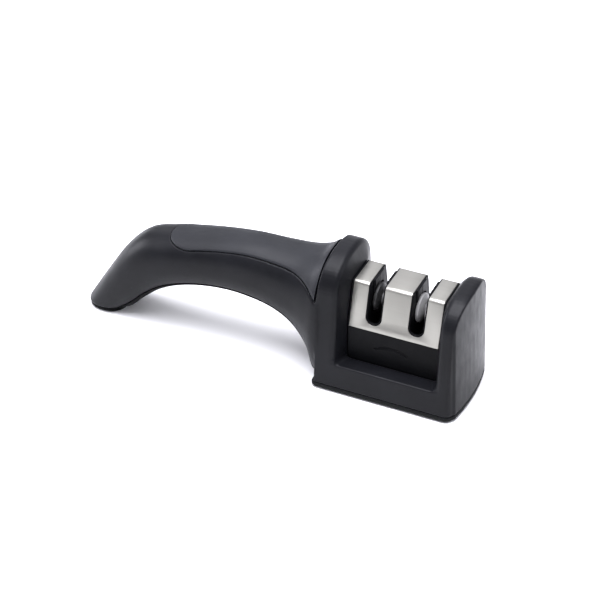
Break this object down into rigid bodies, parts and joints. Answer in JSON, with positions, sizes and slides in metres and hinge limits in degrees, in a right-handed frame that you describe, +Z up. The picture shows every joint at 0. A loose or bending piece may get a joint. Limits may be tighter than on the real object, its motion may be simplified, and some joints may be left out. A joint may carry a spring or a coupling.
{
  "type": "pull-through knife sharpener",
  "caption": "Hand-held two-stage pull-through knife sharpener with a steel slotted cover, free-turning grinding wheels and a curved grip handle.",
  "frame": {"origin": "centre of the bounding box in X and Y, at the table surface the tool stands on", "axes": "+X along the tool's length towards the end wall of the head (the handle points to -X), +Y across its width away from the viewer, +Z up"},
  "size_m": [0.2017, 0.048, 0.0664],
  "materials": {
    "housing": "satin black moulded plastic",
    "grip": "soft-touch grip, dull",
    "trim": "fine texture",
    "base": "fine texture",
    "pad": "non-slip, dull",
    "block": "satin black",
    "cover_steel": "brushed along its length",
    "axle_steel": "ground",
    "screw_steel": "plated",
    "hub": "plain",
    "coarse_abrasive": "steel coated with fine hard grit",
    "fine_ceramic": "fine-grained fired ceramic"
  },
  "bodies": {
    "body": {"housing": "housing", "grip_inlay": "grip", "handle_under_cover": "trim", "under_cover_screws": "screw_steel", "base_plate": "base", "base_pad": "pad", "base_screws": "screw_steel", "block_front": "block", "block_back": "block", "block_dowels": "screw_steel", "steel_cover": "cover_steel", "coarse_axle": "axle_steel", "coarse_washers": "axle_steel", "fine_axle": "axle_steel", "fine_washers": "axle_steel", "block_retainer": "block", "retainer_screws": "screw_steel"},
    "coarse_wheels": {"coarse_hub": "hub", "coarse_wheel_left": "coarse_abrasive", "coarse_wheel_right": "coarse_abrasive"},
    "fine_wheels": {"fine_hub": "hub", "fine_wheel_left": "fine_ceramic", "fine_wheel_right": "fine_ceramic"}
  },
  "joints": [
    {"name": "coarse_spin", "type": "hinge", "parent": "body", "child": "coarse_wheels", "pos_m": [0.05495, 0, 0.0432], "axis": [1, 0, 0], "continuous": true},
    {"name": "fine_spin", "type": "hinge", "parent": "body", "child": "fine_wheels", "pos_m": [0.07575, 0, 0.0432], "axis": [1, 0, 0], "continuous": true}
  ]
}
